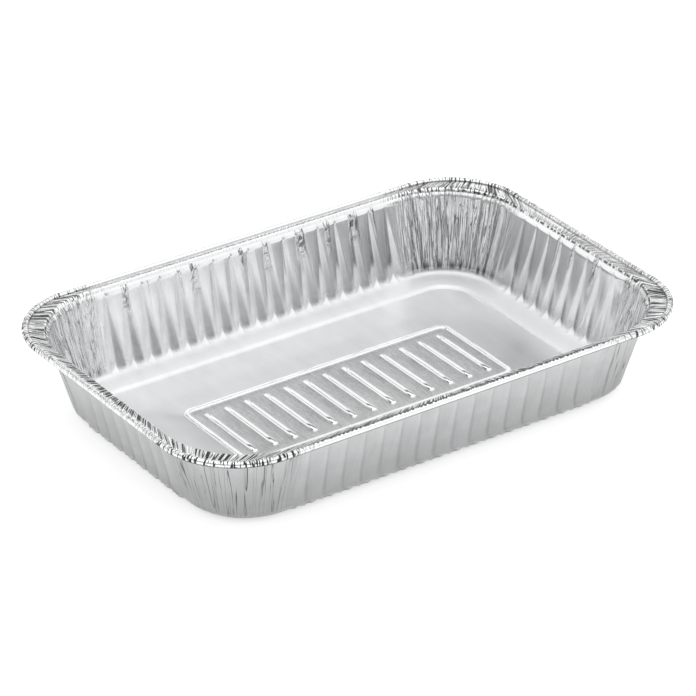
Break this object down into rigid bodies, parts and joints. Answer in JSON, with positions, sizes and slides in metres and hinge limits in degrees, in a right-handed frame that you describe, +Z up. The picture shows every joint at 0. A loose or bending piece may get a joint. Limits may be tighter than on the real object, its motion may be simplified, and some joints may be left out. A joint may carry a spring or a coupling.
{
  "type": "foil roasting pan",
  "caption": "Shallow rectangular pan of thin aluminium foil with fluted sloping walls, gathered corners, a flat flange with a rolled rim and a sunken ribbed floor, for roasting and baking.",
  "frame": {"origin": "on the table, under the middle of the floor", "axes": "+X along the long side, +Y along the short side, +Z up through the open top"},
  "size_m": [0.324, 0.219, 0.0515],
  "materials": {
    "foil": "polished"
  },
  "bodies": {
    "root": {"foil_pan": "foil"}
  },
  "joints": []
}
